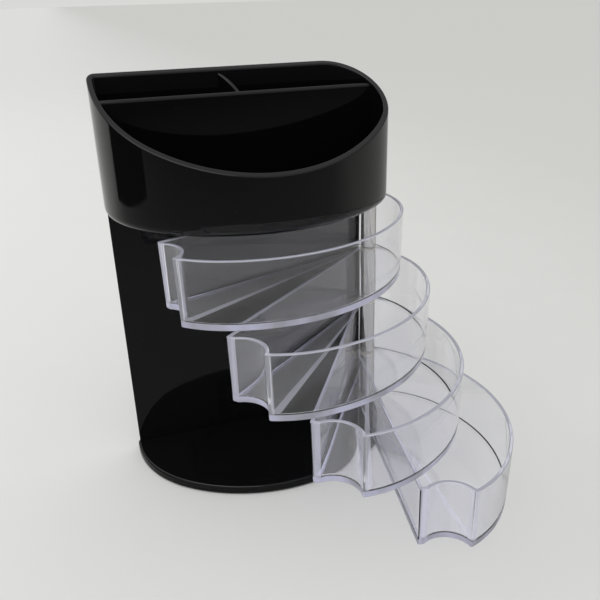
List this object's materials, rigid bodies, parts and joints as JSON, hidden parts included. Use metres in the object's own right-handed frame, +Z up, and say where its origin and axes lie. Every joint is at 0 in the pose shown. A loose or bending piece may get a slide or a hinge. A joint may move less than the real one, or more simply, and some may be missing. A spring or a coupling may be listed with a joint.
{
  "type": "rotating desk organizer with drawers",
  "caption": "Desk organizer: a black D-shaped body with a slant-rimmed, divided pen tray on top and clear drawers below that swing out one by one round an upright rod.",
  "frame": {"origin": "middle of the flat back, at its foot, on the plane that the rubber feet stand on", "axes": "+Z up, +X to the right seen from the front, +Y out of the flat back, so the front arc faces -Y"},
  "size_m": [0.1827, 0.1436, 0.2048],
  "materials": {
    "black_plastic": "high-gloss black moulded polystyrene",
    "clear_plastic": "clear moulded polystyrene",
    "polished_steel": "polished steel tube",
    "rod_steel": "plain drawn steel",
    "white_nylon": "natural white nylon",
    "foot_rubber": "black rubber"
  },
  "bodies": {
    "frame": {"top_tray": "black_plastic", "back_panel": "black_plastic", "base_plate": "black_plastic", "pivot_rod": "rod_steel", "head_washer": "rod_steel", "spacer_tube_1": "polished_steel", "spacer_tube_2": "polished_steel", "spacer_tube_3": "polished_steel", "spacer_tube_4": "polished_steel", "slip_washer_1": "white_nylon", "slip_washer_2": "white_nylon", "slip_washer_3": "white_nylon", "slip_washer_4": "white_nylon", "slip_washer_top": "white_nylon", "foot_back_left": "foot_rubber", "foot_back_right": "foot_rubber", "foot_front_left": "foot_rubber", "foot_front_right": "foot_rubber"},
    "top_drawer": {"drawer_1": "clear_plastic"},
    "second_drawer": {"drawer_2": "clear_plastic"},
    "third_drawer": {"drawer_3": "clear_plastic"},
    "bottom_drawer": {"drawer_4": "clear_plastic"}
  },
  "joints": [
    {"name": "top_drawer_swing", "type": "hinge", "parent": "frame", "child": "top_drawer", "pos_m": [0.06494, -0.0109, 0.1055], "axis": [0, 0, 1], "range_deg": [-21.45, 128.55]},
    {"name": "second_drawer_swing", "type": "hinge", "parent": "frame", "child": "second_drawer", "pos_m": [0.06494, -0.0109, 0.0724], "axis": [0, 0, 1], "range_deg": [-40.94, 109.06]},
    {"name": "third_drawer_swing", "type": "hinge", "parent": "frame", "child": "third_drawer", "pos_m": [0.06494, -0.0109, 0.0393], "axis": [0, 0, 1], "range_deg": [-58.43, 91.57]},
    {"name": "bottom_drawer_swing", "type": "hinge", "parent": "frame", "child": "bottom_drawer", "pos_m": [0.06494, -0.0109, 0.0062], "axis": [0, 0, 1], "range_deg": [-80.14, 69.86]}
  ]
}
